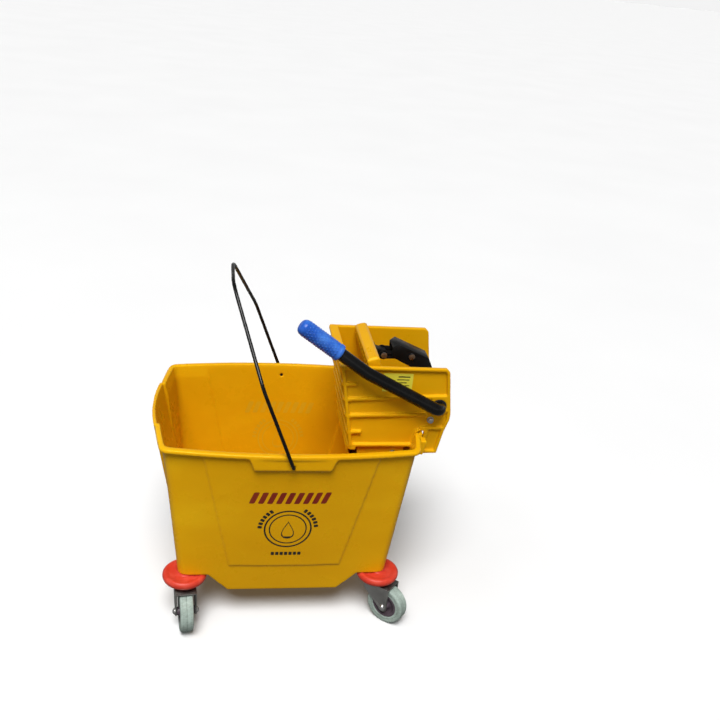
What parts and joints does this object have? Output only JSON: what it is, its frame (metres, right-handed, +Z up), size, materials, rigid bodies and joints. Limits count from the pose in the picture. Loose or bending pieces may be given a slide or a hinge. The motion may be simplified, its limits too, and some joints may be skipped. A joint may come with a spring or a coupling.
{
  "type": "mop bucket with wringer",
  "caption": "Rectangular mop bucket on swivel casters with a wire bail and a hook-on side-press wringer worked by a bent hand lever.",
  "frame": {"origin": "middle of the bounding box in plan, on the floor under the wheels", "axes": "+X along the bucket towards the end the wringer hooks over, +Y from the front to the back, +Z up; wheels stand on z = 0"},
  "size_m": [0.5979, 0.4512, 0.721],
  "materials": {
    "tank_plastic": "glossy injection-moulded polypropylene",
    "wringer_plastic": "satin-gloss injection-moulded polypropylene",
    "bumper_rubber": "soft satin red",
    "caster_steel": "zinc-plated pressed steel",
    "axle_steel": "bright zinc",
    "tyre_rubber": "matt grey-green non-marking rubber",
    "hub_plastic": "dark purple-grey moulded plastic",
    "wire_black": "gloss black coating",
    "tube_black": "gloss black powder coat",
    "grip_blue": "satin blue vinyl",
    "linkage_black": "satin black powder coat",
    "bush_plastic": "dark acetal",
    "bolt_steel": "bright zinc",
    "label_film": "printed vinyl film"
  },
  "bodies": {
    "bucket": {"bucket_tank": "tank_plastic", "bumper_fl": "bumper_rubber", "swivel_cup_fl": "caster_steel", "caster_stem_fl": "axle_steel", "bumper_fr": "bumper_rubber", "swivel_cup_fr": "caster_steel", "caster_stem_fr": "axle_steel", "bumper_rl": "bumper_rubber", "swivel_cup_rl": "caster_steel", "caster_stem_rl": "axle_steel", "bumper_rr": "bumper_rubber", "swivel_cup_rr": "caster_steel", "caster_stem_rr": "axle_steel"},
    "bail": {"bail": "wire_black"},
    "wringer": {"wringer_frame": "wringer_plastic", "drain_chute": "wringer_plastic", "side_label": "label_film", "bush_near": "bush_plastic", "bush_far": "bush_plastic", "clamp_bolts": "bolt_steel", "clamp_nuts": "bolt_steel", "pivot_rod": "bolt_steel", "pivot_nuts": "bolt_steel"},
    "handle": {"handle_tube": "tube_black", "hand_grip": "grip_blue", "axle_cap": "bush_plastic", "crank": "linkage_black", "crank_bolt": "bolt_steel", "crank_pin": "bolt_steel"},
    "press_plate": {"press_plate": "wringer_plastic", "press_bracket": "linkage_black", "link_pin": "bolt_steel"},
    "link": {"link_arms": "linkage_black"},
    "swivel_fl": {"fork_fl": "caster_steel", "axle_fl": "axle_steel"},
    "wheel_fl": {"tyre_fl": "tyre_rubber", "hub_fl": "hub_plastic"},
    "swivel_fr": {"fork_fr": "caster_steel", "axle_fr": "axle_steel"},
    "wheel_fr": {"tyre_fr": "tyre_rubber", "hub_fr": "hub_plastic"},
    "swivel_rl": {"fork_rl": "caster_steel", "axle_rl": "axle_steel"},
    "wheel_rl": {"tyre_rl": "tyre_rubber", "hub_rl": "hub_plastic"},
    "swivel_rr": {"fork_rr": "caster_steel", "axle_rr": "axle_steel"},
    "wheel_rr": {"tyre_rr": "tyre_rubber", "hub_rr": "hub_plastic"}
  },
  "joints": [
    {"name": "swivel_fl_turn", "type": "hinge", "parent": "bucket", "child": "swivel_fl", "pos_m": [-0.225, -0.148, 0.09], "axis": [0, 0, 1], "continuous": true},
    {"name": "wheel_fl_spin", "type": "hinge", "parent": "swivel_fl", "child": "wheel_fl", "pos_m": [-0.22086, -0.18175, 0.043], "axis": [0.9925, 0.1219, 0], "continuous": true},
    {"name": "swivel_fr_turn", "type": "hinge", "parent": "bucket", "child": "swivel_fr", "pos_m": [0.179, -0.148, 0.09], "axis": [0, 0, 1], "continuous": true},
    {"name": "wheel_fr_spin", "type": "hinge", "parent": "swivel_fr", "child": "wheel_fr", "pos_m": [0.20427, -0.17075, 0.043], "axis": [0.6691, 0.7431, 0], "continuous": true},
    {"name": "swivel_rl_turn", "type": "hinge", "parent": "bucket", "child": "swivel_rl", "pos_m": [-0.225, 0.148, 0.09], "axis": [0, 0, 1], "continuous": true},
    {"name": "wheel_rl_spin", "type": "hinge", "parent": "swivel_rl", "child": "wheel_rl", "pos_m": [-0.22086, 0.18175, 0.043], "axis": [-0.9925, 0.1219, 0], "continuous": true},
    {"name": "swivel_rr_turn", "type": "hinge", "parent": "bucket", "child": "swivel_rr", "pos_m": [0.179, 0.148, 0.09], "axis": [0, 0, 1], "continuous": true},
    {"name": "wheel_rr_spin", "type": "hinge", "parent": "swivel_rr", "child": "wheel_rr", "pos_m": [0.1985, 0.17585, 0.043], "axis": [-0.8192, 0.5736, 0], "continuous": true},
    {"name": "bail_swing", "type": "hinge", "parent": "bucket", "child": "bail", "pos_m": [-0.023, 0, 0.404], "axis": [0, 1, 0], "range_deg": [-58, 5]},
    {"name": "wringer_lift", "type": "slide", "parent": "bucket", "child": "wringer", "axis": [0.1822, 0, 0.9833], "range_m": [0, 0.42]},
    {"name": "handle_swing", "type": "hinge", "parent": "wringer", "child": "handle", "pos_m": [0.272, 0, 0.488], "axis": [0, 1, 0], "range_deg": [-6, 40]},
    {"name": "plate_swing", "type": "hinge", "parent": "wringer", "child": "press_plate", "pos_m": [0.191, 0, 0.372], "axis": [0, 1, 0], "range_deg": [-2.7, 17.5]},
    {"name": "link_swing", "type": "hinge", "parent": "handle", "child": "link", "pos_m": [0.224, 0, 0.558], "axis": [0, 1, 0], "range_deg": [-56.5, 8.6]}
  ],
  "couplings": [
    {"joint": "plate_swing", "follows": "handle_swing", "ratio": 0.43},
    {"joint": "link_swing", "follows": "handle_swing", "ratio": -1.4}
  ]
}
